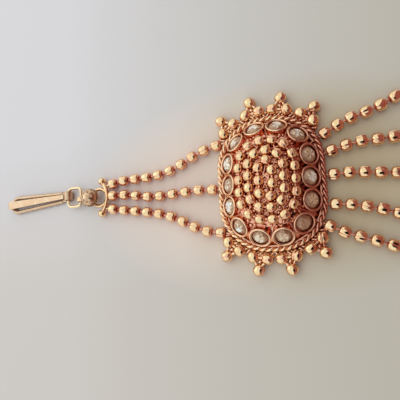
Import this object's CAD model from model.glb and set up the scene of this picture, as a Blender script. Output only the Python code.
import math
import random

import bpy
from mathutils import Matrix, Vector


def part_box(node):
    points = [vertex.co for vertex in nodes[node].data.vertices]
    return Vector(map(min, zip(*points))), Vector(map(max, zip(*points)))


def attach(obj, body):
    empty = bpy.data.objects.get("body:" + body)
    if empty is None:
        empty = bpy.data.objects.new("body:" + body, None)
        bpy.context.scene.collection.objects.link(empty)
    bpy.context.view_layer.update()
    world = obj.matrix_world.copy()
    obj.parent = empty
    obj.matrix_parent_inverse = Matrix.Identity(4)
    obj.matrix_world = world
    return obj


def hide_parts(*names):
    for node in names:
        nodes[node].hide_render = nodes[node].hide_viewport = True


# Jhoomar headpiece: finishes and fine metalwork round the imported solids, with floor, light and camera.
# Lengths are in millimetres, unless a comment says metres, and become metres when a mesh is made.

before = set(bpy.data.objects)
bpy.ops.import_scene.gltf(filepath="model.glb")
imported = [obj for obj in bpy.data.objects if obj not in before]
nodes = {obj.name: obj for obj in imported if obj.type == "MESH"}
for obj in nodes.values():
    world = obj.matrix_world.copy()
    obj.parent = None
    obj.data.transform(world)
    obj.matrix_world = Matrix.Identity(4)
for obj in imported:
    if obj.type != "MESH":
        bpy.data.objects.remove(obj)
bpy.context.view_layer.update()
MM = 0.001
rng = random.Random(7)

# Medallion: outline, dome and rope border, as the solids have them
HALF_WIDTH = 14.1
HALF_HEIGHT = 17.9
CORNER_SHARE = 0.92
SLOPE = math.radians(41.5)
CROWN_RISE = 1.75
FOOT_HEIGHT = 0.86
FLANGE_TOP = 0.7
ROPE_DIAMETER = 1.5
ROPE_CLEARANCE = 0.3
FIT_GAP = 0.1

# Crown from the shoulder inwards: share of the way to the middle, share of the rise
CROWN_LINES = ((0.000, 0.000), (0.350, 0.620), (0.720, 1.000))

# Strands of the rope border
STRAND_RADIUS = 0.385
ROPE_LAYS = 30
STEPS_PER_LAY = 18

# Stones in their collets
STONE_COUNT = 14
STONE_SIDES = 8
STONE_DIAMETER = 4.3
STONE_GAP = 0.12
STONE_BASE = 0.6
STONE_CROWN = 0.75
TABLE_SHARE = 0.58
KITE_REACH = 0.80
KITE_RISE = 0.55
COLLET_WALL = 0.35
COLLET_HEIGHT = 1.2
RIM_WIRE = 0.45
RIM_SKIN = 1.06
RIM_LIFT = 0.015
RIM_STEPS = 48

# The rims wander in three shallow waves
RIM_WAVE = 0.02
RIM_WAVES = 3

# Tones of a stone's facets: lowest and highest, or the ones to choose from
STAR_TONES = (0.2, 0.8)
KITE_TONES = (0.0, 0.35)
GIRDLE_TONES = (0.0, 0.12)
TABLE_TONES = (0.25, 0.7, 1.0, 1.0)
SIDE_TONE = 0.2

# Stones whose foil shows brighter or duller than the rest, by place on the ring
STONE_TINTS = {0: 1.1, 1: 0.9, 3: 1.2, 6: 1.8, 8: 1.8, 10: 0.85, 11: 0.8, 12: 0.35, 13: 0.75}

# Balls on the dome: half sizes of each ring as shares of the crown's, balls in it, turn as a share of a pitch
DOME_BALL = 2.6
BALL_SINK = 0.25
BALL_RINGS = (
    (0.900, 0.855, 18, -0.15),
    (0.560, 0.616, 13, 0.10),
    (0.216, 0.404, 7, -0.40),
)

# Clusters of three balls round the long ends, with their directions from the corner centres in degrees
EDGE_BALL = 3.0
CLUSTER_SPACING = 3.8
CLUSTER_RISE = 3.0
BALL_CLEARANCE = 0.15
CLUSTER_ANGLES = (50.0, 80.0)

# Rolled skins of the balls: diameter and length as shares of the solid ball's diameter, and the hole
DOME_SKIN = (1.015, 0.93, 0.75)
EDGE_SKIN = (1.012, 0.94, 0.85)

# Chain beads
BEAD_DIAMETER = 3.0
BEAD_LENGTH = 2.7
BEAD_HOLE = 1.0

# Fullness of a rolled shape, and its flat end as a share of the radius
BALL_ROLL = (2.3, 0.56)
BEAD_ROLL = (2.8, 0.62)

# Seam of a rolled shape: half widths of its bottom, of its edges and of the stretch without other columns,
# and how far it wanders from the top, all in radians, and its depth as a share of the diameter
SEAM_BOTTOM = 0.077
SEAM_EDGE = 0.242
SEAM_CLEAR = 0.286
SEAM_WANDER = 0.9
SEAM_DEPTH = 0.09

# Radius of the rolled-in lip as a share of the diameter
LIP_SHARE = 0.03

# Wires between the balls of the dome: radius, start from a ball's middle, depth under the middles
LINK_WIRE = 0.24
LINK_START = 0.8
RING_LINK_DROP = 0.35
MIDDLE_LINK_DROP = 0.4

# Wires down to the flank: angles from straight down in radians, their wander, and how far they reach
FLANK_WIRE = 0.22
FLANK_GRAIN = 0.34
FLANK_TURNS = (-0.5, 0.45)
FLANK_WANDER = 0.2
FLANK_REACH = (1.9, 2.3)
FLANK_DROP = 0.7
FLANK_LIFT = 0.15

# Grains scattered over the crown: the seat and the bite are shares of a grain's radius
GRAIN_COUNT = 140
GRAIN_TRIES = 9000
GRAIN_RADII = (0.34, 0.55)
GRAIN_SPACING = 0.8
GRAIN_SEAT = 0.6
GRAIN_BITE = 0.45
CROWN_SHARE = 1.02
SHOULDER_OVERLAP = 0.6

# Metalwork inside the clusters, and the row of grains at the root of each
HEART_GRAIN = 0.62
HEART_DROP = 0.25
SPOKE_WIRE = 0.34
TRIO_WIRE = 0.36
WIRE_DROP = 0.15
ROOT_GRAIN = 0.42
ROOT_REACH = 1.75
ROOT_SPACING = 0.95
ROOT_LEVEL = 1.25
ROOT_WANDER = 0.25

# Filigree between the rope and the clusters: two crossing waved wires at each corner, angles in degrees
FILIGREE_WIRE = 0.27
FILIGREE_START = 34.0
FILIGREE_TURN = 60.0
FILIGREE_REACH = 0.62
FILIGREE_WAVE = 0.52
FILIGREE_WAVES = 7
FILIGREE_LEVEL = 1.15
FILIGREE_SWAY = 0.25
FILIGREE_POINTS = 100

# Grains soldered along the filigree: angles in degrees, their wander in radians
SOLDER_COUNT = 14
SOLDER_START = 35.5
SOLDER_TURN = 58.0
SOLDER_WANDER = 0.01
SOLDER_REACH = (0.85, 1.25)
SOLDER_LEVEL = 1.1
SOLDER_RISE = 0.3
SOLDER_RADII = (0.36, 0.46)

# Corners of a CAD mesh are taken as one where they fall on the same of these steps to the metre
SPOTS_PER_METRE = 1e7

# Depth of the dents in the plating, in metres, and how gently the crevices darken
DENT_DEPTH = 0.00006
CREVICE_SPAN = 0.60

# Along X in metres, the stretch over which the plating goes from fresh to thin and red
WORN_FROM = 0.028
WORN_TO = 0.041

# Floor, backdrop and the warm glow round the medallion, in metres
FLOOR_SPAN = 0.6
FLOOR_DROP = 0.00002
BACKDROP_SIDES = 64
BACKDROP_FOOT = -0.01
BACKDROP_TOP = 0.7
GLOW_MIDDLE = 0.025
GLOW_HALF_X = 0.048
GLOW_HALF_Y = 0.026

# Cards over the medallion, in millimetres from its middle on the floor
WARM_NEAR = 31
WARM_FAR = 260
WARM_SIDE = 170
WARM_LEVEL = 52
BLACK_MIDDLE = (34, -28)
BLACK_HALF = (23, 26)
BLACK_LEVEL = 51

# Window, in metres and watts, and the sides of the sky that the window and the dark stand are on
WINDOW_PLACE = Vector((-0.26, 0.10, 0.20))
WINDOW_AIM = Vector((0.01, 0, 0))
WINDOW_SIZE = 0.30
WINDOW_POWER = 0.12
WINDOW_SIDE = (-0.92, 0.05, 0.38)
STAND_SIDE = (0.60, -0.28, 0.75)

# Camera: place, to the side of the medallion's middle, the way that it faces, and focal length in pixels
CAMERA_ASIDE = 17.67
CAMERA_BACK = -17.85
CAMERA_HEIGHT = 99.7
CAMERA_RIGHT = Vector((0.9325, -0.0374, -0.3591))
CAMERA_UP = Vector((0.0854, 0.9893, 0.1186))
CAMERA_BEHIND = Vector((0.3508, -0.1413, 0.9257))
FOCAL_PIXELS = 384.545
FRAME_PIXELS = 400
SENSOR_WIDTH = 36.0

# The nearest that the camera sees, in metres
NEAR_CLIP = 0.005

# Sizes that follow from the ones above
corner_radius = CORNER_SHARE * HALF_WIDTH
corner_x = HALF_WIDTH - corner_radius
corner_y = HALF_HEIGHT - corner_radius
foot_inset = ROPE_DIAMETER + ROPE_CLEARANCE
collet_radius = STONE_DIAMETER / 2 + STONE_GAP + COLLET_WALL
rim_across = foot_inset - ROPE_DIAMETER / 2 - COLLET_HEIGHT * math.sin(SLOPE)
rim_up = FOOT_HEIGHT - (FLANGE_TOP + FIT_GAP + ROPE_DIAMETER / 2) + COLLET_HEIGHT * math.cos(SLOPE)
rim_reach = ROPE_DIAMETER / 2 + RIM_WIRE / 2 + FIT_GAP
along_slope = rim_across * math.cos(SLOPE) + rim_up * math.sin(SLOPE)
rim_spare = rim_reach**2 - rim_across**2 - rim_up**2

# The collets start where their rims clear the rope
collet_start = max(math.sqrt(max(along_slope**2 + rim_spare, 0)) - along_slope, FIT_GAP)
flank_length = collet_start + 2 * collet_radius + FIT_GAP
shoulder_inset = foot_inset + flank_length * math.cos(SLOPE)
shoulder_level = FOOT_HEIGHT + flank_length * math.sin(SLOPE)
crown_x = HALF_WIDTH - shoulder_inset
crown_y = HALF_HEIGHT - shoulder_inset
insets = [foot_inset] + [shoulder_inset + share * crown_x for share, rise in CROWN_LINES]
levels = [FOOT_HEIGHT] + [shoulder_level + rise * CROWN_RISE for share, rise in CROWN_LINES]

# The medallion's middle in the row frame, from its rope border
rope_low, rope_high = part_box("rope_border")
MIDDLE = Vector(((rope_low[0] + rope_high[0]) / 2, (rope_low[1] + rope_high[1]) / 2, 0)) / MM


def round_path(half_x, half_y, radius, share):
    """Point and outward direction at a share of the way round a rounded rectangle."""
    side = half_y - radius
    top = half_x - radius
    quarter = math.pi * radius / 2
    total = 4 * (side + top + quarter)
    way = (share % 1.0) * total
    for turn in range(4):
        first, second = (side, top) if turn % 2 == 0 else (top, side)
        if way <= first + quarter + second:
            break
        way -= first + quarter + second
    reach, rise = (half_x, half_y) if turn % 2 == 0 else (half_y, half_x)
    if way <= first:
        x, y, angle = reach, way, 0.0
    elif way <= first + quarter:
        angle = (way - first) / radius
        x = reach - radius + radius * math.cos(angle)
        y = rise - radius + radius * math.sin(angle)
    else:
        x, y, angle = first + quarter + second - way, rise, math.pi / 2
    angle += turn * math.pi / 2
    c, s = math.cos(turn * math.pi / 2), math.sin(turn * math.pi / 2)
    return (x * c - y * s, x * s + y * c), (math.cos(angle), math.sin(angle))


def inset_at(x, y):
    """How far a point lies inside the medallion's outline."""
    across = abs(x) - corner_x
    along = abs(y) - corner_y
    outside = math.hypot(max(across, 0), max(along, 0))
    return corner_radius - outside - min(max(across, along), 0)


def dome_level(inset):
    """Height of the dome's outer face at an inset."""
    rows = list(zip(insets, levels))
    for (low, bottom), (high, top) in zip(rows, rows[1:]):
        if inset <= high:
            return bottom + (inset - low) / (high - low) * (top - bottom)
    return levels[-1]


def corner_point(side_x, side_y, angle, reach, level):
    """Point at an angle and a reach from one of the outline's four corner centres."""
    return MIDDLE + Vector((
        side_x * (corner_x + reach * math.cos(angle)),
        side_y * (corner_y + reach * math.sin(angle)),
        level,
    ))


# Mesh helpers
class Build:
    """Collects vertices, faces and one tone per vertex."""

    def __init__(self):
        self.verts = []
        self.faces = []
        self.tones = []
        self.flat = []

    def add(self, verts, faces, tone=0.0, flat=False):
        start = len(self.verts)
        self.verts += [tuple(v) for v in verts]
        self.faces += [tuple(start + i for i in face) for face in faces]
        self.tones += [tone] * len(verts)
        self.flat += [flat] * len(faces)

    def object(self, name, material, stands_for=None):
        """Makes the piece, riding on the one body, and hides the node that it stands for."""
        mesh = bpy.data.meshes.new(name)
        mesh.from_pydata([tuple(c * MM for c in v) for v in self.verts], [], self.faces)
        mesh.validate()
        mesh.update()
        tone = mesh.attributes.new("tone", "FLOAT", "POINT")
        tone.data.foreach_set("value", self.tones)
        mesh.polygons.foreach_set("use_smooth", [not f for f in self.flat])
        obj = bpy.data.objects.new(name, mesh)
        bpy.context.scene.collection.objects.link(obj)
        mesh.materials.append(material)
        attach(obj, "root")
        if stands_for:
            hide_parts(stands_for)


def frame_of(axis):
    """An axis made one long, and two directions square to it."""
    axis = Vector(axis).normalized()
    side = axis.cross(Vector((0, 0, 1)))
    if side.length < 0.1:
        side = axis.cross(Vector((0, 1, 0)))
    side.normalize()
    return axis, side, side.cross(axis).normalized()


def grain_mesh(build, centre, radius, around=12, rows=8):
    """Plain round grain."""
    centre = Vector(centre)
    verts = [centre + Vector((0, 0, radius))]
    faces = []
    for r in range(1, rows):
        t = math.pi * r / rows
        for k in range(around):
            a = 2 * math.pi * k / around
            verts.append(centre + radius * Vector((
                math.sin(t) * math.cos(a), math.sin(t) * math.sin(a), math.cos(t)
            )))
    verts.append(centre - Vector((0, 0, radius)))
    for k in range(around):
        n = (k + 1) % around
        faces.append((0, 1 + k, 1 + n))
        for r in range(rows - 2):
            a = 1 + r * around
            faces.append((a + k, a + around + k, a + around + n, a + n))
        a = 1 + (rows - 2) * around
        faces.append((a + k, len(verts) - 1, a + n))
    build.add(verts, faces, rng.random())


def bead_mesh(build, centre, axis, diameter, length, hole, full, flat_end, around=40, steps=18):
    """Rolled bead: flat ends with a rolled-in lip, and a seam along one side, mostly near the top."""
    tone = rng.random()
    roll = math.pi / 2 + rng.gauss(0, SEAM_WANDER)
    axis, side, up = frame_of(axis)
    centre = Vector(centre)
    radius = diameter / 2
    half = length / 2
    lip = diameter * LIP_SHARE
    rim = flat_end * radius
    reach = half / (1 - (rim / radius) ** full) ** (1 / full)
    ends = [
        (-half + 3.2 * lip, hole / 2),
        (-half + lip, hole / 2),
        (-half + 0.1 * lip, hole / 2 + 0.5 * lip),
        (-half, hole / 2 + 1.2 * lip),
        (-half, rim - 0.8 * lip),
    ]
    profile = list(ends)
    for k in range(1, steps):
        x = -half * math.cos(math.pi * k / steps)
        profile.append((x, radius * (1 - (abs(x) / reach) ** full) ** (1 / full)))
    profile += [(-x, r) for x, r in reversed(ends)]

    # The seam is two sunk columns between its two edges
    depth = SEAM_DEPTH * diameter
    least = hole / 2 * 0.9
    circle = 2 * math.pi
    even = [circle * k / around for k in range(around)]
    angles = [SEAM_EDGE] + [a for a in even if SEAM_CLEAR < a < circle - SEAM_CLEAR]
    angles += [circle - SEAM_EDGE, circle - SEAM_BOTTOM, circle + SEAM_BOTTOM]
    count = len(angles)
    verts, faces = [], []
    for x, r in profile:
        for j, a in enumerate(angles):
            sunk = depth if j >= count - 2 else 0.0
            r_here = max(r - sunk, least)
            a += roll
            verts.append(centre + axis * x + side * (r_here * math.cos(a)) + up * (r_here * math.sin(a)))
    for i in range(len(profile) - 1):
        for j in range(count):
            n = (j + 1) % count
            faces.append((i * count + j, (i + 1) * count + j, (i + 1) * count + n, i * count + n))
    build.add(verts, faces, tone)


def tube_mesh(build, points, radius, sides=10, closed=False):
    """Round wire through points, its section carried along without twist."""
    points = [Vector(p) for p in points]
    count = len(points)
    tangents = []
    for k in range(count):
        if closed:
            tangents.append((points[(k + 1) % count] - points[k - 1]).normalized())
        else:
            tangents.append((points[min(k + 1, count - 1)] - points[max(k - 1, 0)]).normalized())
    side = frame_of(tangents[0])[1]
    verts, faces = [], []
    for k in range(count):
        t = tangents[k]
        side = (side - t * side.dot(t)).normalized()
        up = t.cross(side).normalized()
        for j in range(sides):
            a = 2 * math.pi * j / sides
            verts.append(points[k] + side * (radius * math.cos(a)) + up * (radius * math.sin(a)))
    for k in range(count - 1):
        for j in range(sides):
            n = (j + 1) % sides
            faces.append((k * sides + j, (k + 1) * sides + j, (k + 1) * sides + n, k * sides + n))
    last = (count - 1) * sides
    if closed:
        # The section has turned a little on the way round: join the last row where it meets the first
        shift = min(range(sides), key=lambda j: (verts[last + j] - verts[0]).length)
        for j in range(sides):
            n = (j + 1) % sides
            faces.append((last + (j + shift) % sides, j, n, last + (n + shift) % sides))
    else:
        faces.append(tuple(range(sides - 1, -1, -1)))
        faces.append(tuple(last + j for j in range(sides)))
    build.add(verts, faces)


# Material helpers
def new_material(name):
    """Material with one principled shader."""
    material = bpy.data.materials.new(name)
    material.use_nodes = True
    tree = material.node_tree
    tree.nodes.clear()
    out = tree.nodes.new("ShaderNodeOutputMaterial")
    shader = tree.nodes.new("ShaderNodeBsdfPrincipled")
    tree.links.new(shader.outputs["BSDF"], out.inputs["Surface"])
    return material, tree, shader


def glow_material(name, colour):
    """Material that only shines, in one colour."""
    material = bpy.data.materials.new(name)
    material.use_nodes = True
    tree = material.node_tree
    tree.nodes.clear()
    out = tree.nodes.new("ShaderNodeOutputMaterial")
    glow = tree.nodes.new("ShaderNodeEmission")
    glow.inputs["Color"].default_value = (*colour, 1)
    tree.links.new(glow.outputs["Emission"], out.inputs["Surface"])
    return material


def object_coords(tree):
    return tree.nodes.new("ShaderNodeTexCoord").outputs["Object"]


def split_axes(tree, coords):
    split = tree.nodes.new("ShaderNodeSeparateXYZ")
    tree.links.new(coords, split.inputs["Vector"])
    return split.outputs


def noise(tree, scale, detail=3.0):
    """Cloudy pattern fixed to the object, with so many clouds to the metre."""
    node = tree.nodes.new("ShaderNodeTexNoise")
    node.inputs["Scale"].default_value = scale
    node.inputs["Detail"].default_value = detail
    node.inputs["Roughness"].default_value = 0.55
    tree.links.new(object_coords(tree), node.inputs["Vector"])
    return node.outputs["Fac"]


def mix_colour(tree, factor, first, second):
    """Mixes two colours, each a triple or a socket."""
    node = tree.nodes.new("ShaderNodeMix")
    node.data_type = "RGBA"
    for value, socket in ((first, node.inputs["A"]), (second, node.inputs["B"])):
        if isinstance(value, tuple):
            socket.default_value = (*value, 1)
        else:
            tree.links.new(value, socket)
    tree.links.new(factor, node.inputs["Factor"])
    return node.outputs["Result"]


def spread(tree, value, low_in, high_in, low_out=0.0, high_out=1.0):
    """Maps a range of a value onto another, and holds it there at both ends."""
    node = tree.nodes.new("ShaderNodeMapRange")
    node.inputs["From Min"].default_value = low_in
    node.inputs["From Max"].default_value = high_in
    node.inputs["To Min"].default_value = low_out
    node.inputs["To Max"].default_value = high_out
    tree.links.new(value, node.inputs["Value"])
    return node.outputs["Result"]


def facing(tree, coords, direction):
    """How far a direction of the sky points along another."""
    node = tree.nodes.new("ShaderNodeVectorMath")
    node.operation = "DOT_PRODUCT"
    node.inputs[1].default_value = direction
    tree.links.new(coords, node.inputs[0])
    return node.outputs["Value"]


def metal(
    name, bright, deep, crevice,
    rough=(0.10, 0.22), reach=0.0011, wear=900.0, bump=0.25, clear=0.75, worn=None,
):
    """Plated metal: uneven plating colour, redder in the crevices, with fine dents. Reach is in metres."""
    material, tree, shader = new_material(name)
    patch = spread(tree, noise(tree, wear), 0.35, 0.65)
    plate = mix_colour(tree, patch, bright, deep)
    if worn:
        # The plating is thinner and redder towards the free chains
        along = split_axes(tree, object_coords(tree))["X"]
        plate = mix_colour(tree, spread(tree, along, WORN_FROM, WORN_TO), plate, worn)
    shade = tree.nodes.new("ShaderNodeAmbientOcclusion")
    shade.samples = 6
    shade.inputs["Distance"].default_value = reach
    hidden = spread(tree, shade.outputs["AO"], clear - CREVICE_SPAN, clear, 1.0, 0.0)
    tree.links.new(mix_colour(tree, hidden, plate, crevice), shader.inputs["Base Color"])
    shader.inputs["Metallic"].default_value = 1.0
    tree.links.new(spread(tree, noise(tree, wear * 2.1), 0.3, 0.7, *rough), shader.inputs["Roughness"])
    dents = tree.nodes.new("ShaderNodeBump")
    dents.inputs["Strength"].default_value = bump
    dents.inputs["Distance"].default_value = DENT_DEPTH
    tree.links.new(noise(tree, wear * 0.9, 2.0), dents.inputs["Height"])
    tree.links.new(dents.outputs["Normal"], shader.inputs["Normal"])
    return material


def stone_material():
    """Clear cut glass over foil: facets from brown to cream, the lightest ones white, under a glossy coat."""
    material, tree, shader = new_material("foiled_glass")
    tone = tree.nodes.new("ShaderNodeAttribute")
    tone.attribute_name = "tone"
    facets = mix_colour(tree, tone.outputs["Fac"], (0.36, 0.135, 0.07), (1.0, 0.71, 0.46))
    flash = spread(tree, tone.outputs["Fac"], 0.75, 1.0)
    facets = mix_colour(tree, flash, facets, (1.0, 0.93, 0.86))
    tree.links.new(facets, shader.inputs["Base Color"])
    shader.inputs["Metallic"].default_value = 0.2
    tree.links.new(spread(tree, noise(tree, 1500.0), 0.3, 0.7, 0.08, 0.22), shader.inputs["Roughness"])
    shader.inputs["Coat Weight"].default_value = 0.25
    shader.inputs["Coat Roughness"].default_value = 0.03
    return material


# Finishes: fresh colour, deeper patches, crevices
rose = metal(
    "rose_gold_plate", (0.95, 0.66, 0.39), (0.94, 0.58, 0.32), (0.62, 0.16, 0.09),
    rough=(0.03, 0.10), reach=0.0012, bump=0.5, clear=0.80,
)
chain_metal = metal(
    "chain_bead_plate", (0.98, 0.68, 0.42), (0.96, 0.60, 0.34), (0.68, 0.13, 0.08),
    rough=(0.03, 0.10), reach=0.0024, bump=0.5, clear=0.98,
)
rose_base = metal(
    "rose_gold_base", (0.97, 0.54, 0.38), (0.93, 0.41, 0.27), (0.55, 0.19, 0.12),
    rough=(0.10, 0.24), reach=0.0010, worn=(0.46, 0.17, 0.10),
)
rope_metal = metal(
    "twisted_wire_plate", (1.0, 0.71, 0.47), (1.0, 0.62, 0.38), (0.62, 0.22, 0.11),
    rough=(0.08, 0.18), reach=0.0007, clear=0.62, worn=(0.62, 0.23, 0.16),
)
link_metal = metal(
    "copper_link_plate", (0.90, 0.40, 0.27), (0.84, 0.30, 0.19), (0.58, 0.12, 0.07),
    rough=(0.12, 0.24),
)
rim_metal = metal(
    "collet_rim_plate", (1.0, 0.69, 0.45), (0.98, 0.61, 0.38), (0.52, 0.20, 0.12),
    rough=(0.12, 0.24), reach=0.0005, worn=(0.66, 0.31, 0.22),
)
strip_metal = metal(
    "pale_gold_strip", (0.68, 0.47, 0.32), (0.64, 0.40, 0.26), (0.38, 0.18, 0.09),
    rough=(0.22, 0.38), wear=420.0, clear=0.9,
)
ring_metal = metal(
    "pale_gold_wire", (0.93, 0.71, 0.46), (0.91, 0.65, 0.40), (0.50, 0.26, 0.12),
    rough=(0.16, 0.30), wear=500.0,
)
boss_metal = metal(
    "worn_boss_plate", (0.86, 0.60, 0.40), (0.56, 0.29, 0.17), (0.14, 0.06, 0.03),
    rough=(0.20, 0.38), reach=0.0008, wear=1100.0, bump=0.9, clear=0.98,
)
stone_glass = stone_material()

# The CAD nodes that stay to be seen; links take the link plate, and any other node the rose plate
NODE_METALS = {
    "hair_hook": strip_metal,
    "hook_ring": ring_metal,
    "connector": boss_metal,
    "medallion": rose_base,
}


def add_rope():
    """Rope border: two strands laid round the rounded rectangle."""
    rope = Build()
    level = (rope_low[2] + rope_high[2]) / 2 / MM
    half_x = HALF_WIDTH - ROPE_DIAMETER / 2
    half_y = HALF_HEIGHT - ROPE_DIAMETER / 2
    corner = corner_radius - ROPE_DIAMETER / 2
    offset = ROPE_DIAMETER / 2 - STRAND_RADIUS
    steps = ROPE_LAYS * STEPS_PER_LAY
    for strand in range(2):
        points = []
        for k in range(steps):
            share = k / steps
            (x, y), (out_x, out_y) = round_path(half_x, half_y, corner, share)
            turn = 2 * math.pi * ROPE_LAYS * share + math.pi * strand
            points.append(MIDDLE + Vector((
                x + out_x * offset * math.cos(turn),
                y + out_y * offset * math.cos(turn),
                level + offset * math.sin(turn),
            )))
        tube_mesh(rope, points, STRAND_RADIUS, closed=True)
    rope.object("twisted_rope", rope_metal, "rope_border")


def ball_rings():
    """Middles of the balls on the crown, ring by ring from the outermost."""
    rings = []
    for across, along, count, turn in BALL_RINGS:
        half_x = across * crown_x
        half_y = along * crown_y
        ring = []
        for k in range(count):
            x, y = round_path(half_x, half_y, half_x * CORNER_SHARE, (k + turn) / count)[0]
            level = dome_level(inset_at(x, y)) + DOME_BALL / 2 - BALL_SINK
            ring.append(MIDDLE + Vector((x, y, level)))
        rings.append(ring)
    return rings


def add_dome_balls(rings):
    """Rolled skins over the balls of the crown, each threaded along its ring."""
    dome = Build()
    skin, length, hole = DOME_SKIN
    for ring in rings:
        for k, centre in enumerate(ring):
            way = ring[(k + 1) % len(ring)] - ring[k - 1]
            bead_mesh(dome, centre, way, DOME_BALL * skin, DOME_BALL * length, hole, *BALL_ROLL)
    dome.object("dome_beads", rose)


def link_between(build, start, end, drop):
    """Short wire between two balls, from inside one to inside the other."""
    way = (end - start).normalized() * LINK_START
    down = Vector((0, 0, drop))
    tube_mesh(build, [start + way - down, end - way - down], LINK_WIRE, sides=8)


def add_dome_links(rings):
    """Wires and grains that fill the dome between its balls."""
    links = Build()
    for ring, inner in zip(rings, rings[1:]):
        for centre in ring:
            near = sorted(inner, key=lambda p: (p - centre).length)[:2]
            for other in near[: 1 + (rng.random() < 0.5)]:
                link_between(links, centre, other, RING_LINK_DROP)
    middle_ring = rings[-1]
    half_way = len(middle_ring) // 2
    for k, centre in enumerate(middle_ring):
        opposite = middle_ring[(k + half_way) % len(middle_ring)]
        link_between(links, centre, opposite, MIDDLE_LINK_DROP)

    # From each ball of the outermost ring, two wires run down to a grain on the flank
    for centre in rings[0]:
        x, y = centre.x - MIDDLE.x, centre.y
        way = Vector((x / HALF_WIDTH**2, y / HALF_HEIGHT**2, 0)).normalized()
        for turn in FLANK_TURNS:
            out = Matrix.Rotation(turn + rng.uniform(-FLANK_WANDER, FLANK_WANDER), 3, "Z") @ way
            end = centre + out * rng.uniform(*FLANK_REACH)
            end.z = dome_level(inset_at(end.x - MIDDLE.x, end.y)) + FLANK_LIFT
            start = centre + out * LINK_START - Vector((0, 0, FLANK_DROP))
            tube_mesh(links, [start, end], FLANK_WIRE, sides=8)
            grain_mesh(links, end, FLANK_GRAIN)

    # Grains scattered over the crown, clear of the balls and of each other
    balls = [p for ring in rings for p in ring]
    grains = []
    tries = 0
    while len(grains) < GRAIN_COUNT and tries < GRAIN_TRIES:
        tries += 1
        x = rng.uniform(-crown_x, crown_x) * CROWN_SHARE
        y = rng.uniform(-crown_y, crown_y) * CROWN_SHARE
        inset = inset_at(x, y)
        if inset < shoulder_inset - SHOULDER_OVERLAP:
            continue
        radius = rng.uniform(*GRAIN_RADII)
        point = MIDDLE + Vector((x, y, dome_level(inset) + radius * GRAIN_SEAT))
        if min((point - p).length for p in balls) < DOME_BALL / 2 + radius * GRAIN_BITE:
            continue
        if grains and min((point - p).length for p, r in grains) < GRAIN_SPACING:
            continue
        grains.append((point, radius))
    for point, radius in grains:
        grain_mesh(links, point, radius)
    links.object("dome_links", rose_base)


def add_cluster(edge, roots, side_x, side_y, angle):
    """Trio of rolled balls with the wires and grains that hold it to the rope."""
    base_reach = corner_radius + EDGE_BALL / 2 + BALL_CLEARANCE
    half_angle = math.asin(CLUSTER_SPACING / 2 / base_reach)
    spots = ((-half_angle, base_reach), (0, base_reach + CLUSTER_RISE), (half_angle, base_reach))
    trio = [corner_point(side_x, side_y, angle + turn, reach, EDGE_BALL / 2) for turn, reach in spots]
    heart = sum(trio, Vector((0, 0, 0))) / 3
    grain_mesh(roots, heart - Vector((0, 0, HEART_DROP)), HEART_GRAIN, around=16, rows=10)
    drop = Vector((0, 0, WIRE_DROP))
    for k, centre in enumerate(trio):
        tube_mesh(roots, [centre - drop, heart - drop * 2], SPOKE_WIRE)
        tube_mesh(roots, [centre + drop, trio[(k + 1) % 3] + drop], TRIO_WIRE)
    out_way = Vector((side_x * math.cos(angle), side_y * math.sin(angle), 0))
    across_way = Vector((-out_way.y, out_way.x, 0))
    for k in (-1.5, -0.5, 0.5, 1.5):
        root = heart - out_way * ROOT_REACH + across_way * (k * ROOT_SPACING)
        root.z = ROOT_LEVEL + ROOT_WANDER * rng.random()
        grain_mesh(roots, root, ROOT_GRAIN, around=14)
    skin, length, hole = EDGE_SKIN
    for k, centre in enumerate(trio):
        way = trio[(k + 1) % 3] - centre
        bead_mesh(edge, centre, way, EDGE_BALL * skin, EDGE_BALL * length, hole, *BALL_ROLL)


def add_filigree(roots, side_x, side_y):
    """Two crossing waved wires round one corner, and the grains soldered along them."""
    last = FILIGREE_POINTS - 1
    for phase in (0.0, math.pi):
        points = []
        for k in range(FILIGREE_POINTS):
            angle = math.radians(FILIGREE_START + FILIGREE_TURN * k / last)
            wave = 2 * math.pi * FILIGREE_WAVES * k / last + phase
            reach = corner_radius + FILIGREE_REACH + FILIGREE_WAVE * math.cos(wave)
            level = FILIGREE_LEVEL + FILIGREE_SWAY * math.sin(wave)
            points.append(corner_point(side_x, side_y, angle, reach, level))
        tube_mesh(roots, points, FILIGREE_WIRE, sides=8)
    for k in range(SOLDER_COUNT):
        angle = math.radians(SOLDER_START + SOLDER_TURN * k / (SOLDER_COUNT - 1))
        angle += rng.uniform(-SOLDER_WANDER, SOLDER_WANDER)
        reach = corner_radius + rng.uniform(*SOLDER_REACH)
        level = SOLDER_LEVEL + SOLDER_RISE * rng.random()
        spot = corner_point(side_x, side_y, angle, reach, level)
        grain_mesh(roots, spot, rng.uniform(*SOLDER_RADII))


def add_clusters():
    """Eight clusters, two at each corner, and the filigree under them."""
    corners = [(side_x, side_y) for side_x in (-1, 1) for side_y in (-1, 1)]
    edge = Build()
    roots = Build()
    for side_x, side_y in corners:
        for angle in CLUSTER_ANGLES:
            add_cluster(edge, roots, side_x, side_y, math.radians(angle))
    for side_x, side_y in corners:
        add_filigree(roots, side_x, side_y)
    edge.object("edge_beads", rose)
    roots.object("cluster_links", rope_metal)


def collet_places():
    """Origin and directions of each collet on the sloping flank."""
    inset = foot_inset + (collet_start + collet_radius) * math.cos(SLOPE)
    level = FOOT_HEIGHT + (collet_start + collet_radius) * math.sin(SLOPE)
    places = []
    for k in range(STONE_COUNT):
        (x, y), (out_x, out_y) = round_path(
            HALF_WIDTH - inset, HALF_HEIGHT - inset, corner_radius - inset, k / STONE_COUNT
        )
        z_dir = Vector((out_x * math.sin(SLOPE), out_y * math.sin(SLOPE), math.cos(SLOPE)))
        x_dir = Vector((-out_y, out_x, 0))
        place = Matrix((x_dir, z_dir.cross(x_dir), z_dir)).transposed()
        places.append((MIDDLE + Vector((x, y, level)), place))
    return places


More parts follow.
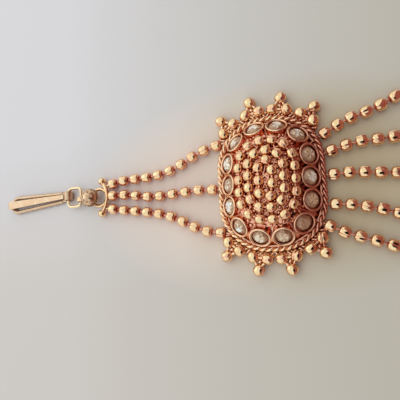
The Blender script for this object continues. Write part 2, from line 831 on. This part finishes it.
def add_rims(places):
    """Slightly wavy wire along the top of each collet."""
    rims = Build()
    for k, (origin, place) in enumerate(places):
        ring = []
        for j in range(RIM_STEPS):
            a = 2 * math.pi * j / RIM_STEPS
            r = collet_radius + RIM_WAVE * math.sin(RIM_WAVES * a + k)
            ring.append(origin + place @ Vector((r * math.cos(a), r * math.sin(a), COLLET_HEIGHT + RIM_LIFT)))
        tube_mesh(rims, ring, RIM_WIRE / 2 * RIM_SKIN, sides=12, closed=True)
    rims.object("collet_rims", rim_metal)


def cut_stone(build, origin, place, tint):
    """Round brilliant crown: table, stars, kites and girdle facets, each with its own tone."""
    radius = STONE_DIAMETER / 2
    bottom = 2 * STONE_GAP
    girdle = bottom + STONE_BASE
    top = girdle + STONE_CROWN
    table = radius * TABLE_SHARE
    kite_r, kite_z = radius * KITE_REACH, girdle + STONE_CROWN * KITE_RISE
    side = 360 / STONE_SIDES
    half = side / 2

    def point(r, turn, z):
        a = math.radians(turn)
        return origin + place @ Vector((r * math.cos(a), r * math.sin(a), z))

    for k in range(STONE_SIDES):
        a = side * k
        t0, t1 = point(table, a, top), point(table, a + side, top)
        k0, k1 = point(kite_r, a + half, kite_z), point(kite_r, a - half, kite_z)
        g0, gm, gl = (point(radius, turn, girdle) for turn in (a, a + half, a - half))
        b0, bm, bl = (point(radius, turn, bottom) for turn in (a, a + half, a - half))
        build.add([t0, k0, t1], [(0, 1, 2)], rng.uniform(*STAR_TONES) * tint, True)
        build.add([t0, k1, g0, k0], [(0, 1, 2, 3)], rng.uniform(*KITE_TONES) * tint, True)
        build.add([k0, g0, gm], [(0, 1, 2)], rng.uniform(*GIRDLE_TONES) * tint, True)
        build.add([k1, gl, g0], [(0, 1, 2)], rng.uniform(*GIRDLE_TONES) * tint, True)
        build.add([g0, b0, bm, gm], [(0, 1, 2, 3)], SIDE_TONE, True)
        build.add([gl, bl, b0, g0], [(0, 1, 2, 3)], SIDE_TONE, True)
        # The table shows the tones of the facets below it
        c = point(0, 0, top)
        m = point(table * math.cos(math.radians(half)), a + half, top)
        build.add([c, t0, m], [(0, 1, 2)], rng.choice(TABLE_TONES) * tint, True)
        build.add([c, m, t1], [(0, 1, 2)], rng.choice(TABLE_TONES) * tint, True)
    base = [point(radius, half * k, bottom) for k in range(2 * STONE_SIDES)]
    build.add(base, [tuple(reversed(range(len(base))))], SIDE_TONE, True)


def add_stones(places):
    """One cut stone in each collet, in place of the solid stone."""
    for k, (origin, place) in enumerate(places):
        stone = Build()
        cut_stone(stone, origin, place, STONE_TINTS.get(k, 1.0))
        stone.object(f"cut_stone_{k + 1:02d}", stone_glass, f"stone_{k + 1:02d}")


def loose_middles(obj):
    """Middle of each loose bead in a CAD node, in order along X."""
    mesh = obj.data
    parent = list(range(len(mesh.vertices)))

    def root(i):
        while parent[i] != i:
            parent[i] = parent[parent[i]]
            i = parent[i]
        return i

    spots = {}
    for v in mesh.vertices:
        key = tuple(round(c * SPOTS_PER_METRE) for c in v.co)
        if key in spots:
            parent[root(v.index)] = root(spots[key])
        else:
            spots[key] = v.index
    for a, b in (e.vertices for e in mesh.edges):
        parent[root(a)] = root(b)
    groups = {}
    for v in mesh.vertices:
        groups.setdefault(root(v.index), []).append(v.co)
    middles = []
    for points in groups.values():
        lo = Vector(min(p[i] for p in points) for i in range(3))
        hi = Vector(max(p[i] for p in points) for i in range(3))
        middles.append((lo + hi) / 2 / MM)
    return sorted(middles, key=lambda p: p.x)


def add_chain(name):
    """One rolled bead where each solid bead lies, turned along the chain."""
    middles = loose_middles(nodes[name])
    chain = Build()
    for k, centre in enumerate(middles):
        ways = []
        if k:
            ways.append((centre - middles[k - 1]).normalized())
        if k + 1 < len(middles):
            ways.append((middles[k + 1] - centre).normalized())
        way = sum(ways, Vector((0, 0, 0))).normalized()
        bead_mesh(chain, centre, way, BEAD_DIAMETER, BEAD_LENGTH, BEAD_HOLE, *BEAD_ROLL)
    chain.object(name.replace("_beads", "_rolled_beads"), chain_metal, name)


def finish_nodes():
    """Finishes of the CAD nodes."""
    for name, obj in nodes.items():
        material = link_metal if name.endswith("_links") else NODE_METALS.get(name, rose)
        if obj.data.materials:
            for k in range(len(obj.data.materials)):
                obj.data.materials[k] = material
        else:
            obj.data.materials.append(material)


def stage_object(name, verts, faces, material):
    """Plain mesh, in metres, that belongs to the stage."""
    mesh = bpy.data.meshes.new(name)
    mesh.from_pydata(verts, [], faces)
    mesh.materials.append(material)
    obj = bpy.data.objects.new(name, mesh)
    bpy.context.scene.collection.objects.link(obj)
    return obj


def ellipse_reach(tree, coords, middle_x, half_x, half_y):
    """Square of a point's distance from an ellipse's middle, as a share of its half sizes, in metres."""
    offset = tree.nodes.new("ShaderNodeVectorMath")
    offset.operation = "MULTIPLY_ADD"
    offset.inputs[1].default_value = (1 / half_x, 1 / half_y, 0)
    offset.inputs[2].default_value = (-middle_x / half_x, 0, 0)
    tree.links.new(coords, offset.inputs[0])
    squared = tree.nodes.new("ShaderNodeVectorMath")
    squared.operation = "DOT_PRODUCT"
    tree.links.new(offset.outputs["Vector"], squared.inputs[0])
    tree.links.new(offset.outputs["Vector"], squared.inputs[1])
    return squared.outputs["Value"]


def paper_material():
    """Pale paper, greyer away from the window, with warm light from the gold round the medallion."""
    material, tree, shader = new_material("pale_paper")
    coords = object_coords(tree)
    axes = split_axes(tree, coords)
    near = mix_colour(tree, spread(tree, axes["Y"], -0.028, 0.022), (0.81, 0.71, 0.68), (0.89, 0.81, 0.845))
    paper = mix_colour(tree, spread(tree, axes["X"], -0.040, 0.085), near, (0.61, 0.525, 0.435))
    warm = mix_colour(tree, spread(tree, axes["X"], 0.0, 0.045), (0.96, 0.76, 0.68), (0.62, 0.480, 0.325))
    far = ellipse_reach(tree, coords, GLOW_MIDDLE, GLOW_HALF_X, GLOW_HALF_Y)
    paper = mix_colour(tree, spread(tree, far, 0.35, 1.35, 1.0, 0.0), paper, warm)
    tree.links.new(paper, shader.inputs["Base Color"])
    shader.inputs["Roughness"].default_value = 0.9
    shader.inputs["Specular IOR Level"].default_value = 0.0
    return material


def add_floor():
    """Sheet of paper under the headpiece."""
    span = FLOOR_SPAN
    corners = [(-span, -span, 0), (span, -span, 0), (span, span, 0), (-span, span, 0)]
    floor = stage_object("floor", corners, [(0, 1, 2, 3)], paper_material())
    floor.location.z = -FLOOR_DROP


def add_backdrop():
    """Pale backdrop standing round the floor, seen by the camera alone."""
    count = BACKDROP_SIDES
    turns = [2 * math.pi * k / count for k in range(count)]
    ring = [(FLOOR_SPAN * math.cos(turn), FLOOR_SPAN * math.sin(turn)) for turn in turns]
    verts = [(x, y, z) for z in (BACKDROP_FOOT, BACKDROP_TOP) for x, y in ring]
    faces = [(k, (k + 1) % count, (k + 1) % count + count, k + count) for k in range(count)]
    wall = stage_object("backdrop", verts, faces, glow_material("pale_backdrop", (0.66, 0.65, 0.63)))
    wall.visible_diffuse = wall.visible_glossy = wall.visible_transmission = wall.visible_shadow = False


def add_card(name, outline, level, colour):
    """Card above the medallion, seen only as a reflection."""
    verts = [(x * MM, y * MM, 0) for x, y in outline]
    card = stage_object(name, verts, [tuple(range(len(verts)))], glow_material(name, colour))
    card.location = (MIDDLE + Vector((0, 0, level))) * MM
    card.visible_camera = card.visible_diffuse = card.visible_shadow = False


def add_cards():
    """The warm dark side of the room, and a small black card under it."""
    warm = [(WARM_NEAR, -WARM_SIDE), (WARM_FAR, -WARM_SIDE), (WARM_FAR, WARM_SIDE), (WARM_NEAR, WARM_SIDE)]
    add_card("warm_card", warm, WARM_LEVEL, (0.31, 0.115, 0.115))
    (x, y), (half_x, half_y) = BLACK_MIDDLE, BLACK_HALF
    turns = [math.pi * k / 12 for k in range(24)]
    oval = [(x + half_x * math.cos(turn), y + half_y * math.sin(turn)) for turn in turns]
    add_card("black_card", oval, BLACK_LEVEL, (0.012, 0.008, 0.006))


def add_sky():
    """Studio sky: pale on the window's side, dim and warm away from it, dark red furthest from it."""
    world = bpy.data.worlds.new("studio")
    world.use_nodes = True
    bpy.context.scene.world = world
    tree = world.node_tree
    tree.nodes.clear()
    out = tree.nodes.new("ShaderNodeOutputWorld")
    back = tree.nodes.new("ShaderNodeBackground")
    tree.links.new(back.outputs["Background"], out.inputs["Surface"])
    coords = tree.nodes.new("ShaderNodeTexCoord").outputs["Generated"]
    window = facing(tree, coords, WINDOW_SIDE)
    sky = mix_colour(tree, spread(tree, window, -0.45, 0.15), (0.46, 0.33, 0.31), (0.90, 1.03, 1.02))
    sky = mix_colour(tree, spread(tree, window, -0.50, -0.15), (0.24, 0.09, 0.07), sky)
    # The dark stand over the part, seen in the beads of the left chains
    stand = spread(tree, facing(tree, coords, STAND_SIDE), 0.910, 0.935)
    tree.links.new(mix_colour(tree, stand, sky, (0.03, 0.015, 0.01)), back.inputs["Color"])


def add_window():
    """Soft round light at the left."""
    data = bpy.data.lights.new("window", "AREA")
    data.shape = "DISK"
    data.size = WINDOW_SIZE
    data.energy = WINDOW_POWER
    data.color = (0.95, 1.0, 0.98)
    lamp = bpy.data.objects.new("window", data)
    bpy.context.scene.collection.objects.link(lamp)
    lamp.location = WINDOW_PLACE
    lamp.rotation_mode = "QUATERNION"
    lamp.rotation_quaternion = (WINDOW_AIM - WINDOW_PLACE).to_track_quat("-Z", "Y")


def add_camera():
    """Camera at the photo's angle."""
    data = bpy.data.cameras.new("camera")
    data.sensor_width = SENSOR_WIDTH
    data.lens = SENSOR_WIDTH * FOCAL_PIXELS / FRAME_PIXELS
    data.clip_start = NEAR_CLIP
    camera = bpy.data.objects.new("camera", data)
    bpy.context.scene.collection.objects.link(camera)
    place = Vector((MIDDLE.x + CAMERA_ASIDE, CAMERA_BACK, CAMERA_HEIGHT)) * MM
    turned = Matrix((CAMERA_RIGHT, CAMERA_UP, CAMERA_BEHIND)).transposed().to_4x4()
    camera.matrix_world = Matrix.Translation(place) @ turned
    bpy.context.scene.camera = camera
    bpy.context.scene.view_settings.view_transform = "Standard"


# The headpiece
add_rope()
rings = ball_rings()
add_dome_balls(rings)
add_dome_links(rings)
add_clusters()
collets = collet_places()
add_rims(collets)
add_stones(collets)
for name in sorted(nodes):
    if name.endswith("_beads"):
        add_chain(name)
finish_nodes()

# The stage
add_floor()
add_sky()
add_window()
add_cards()
add_backdrop()
add_camera()
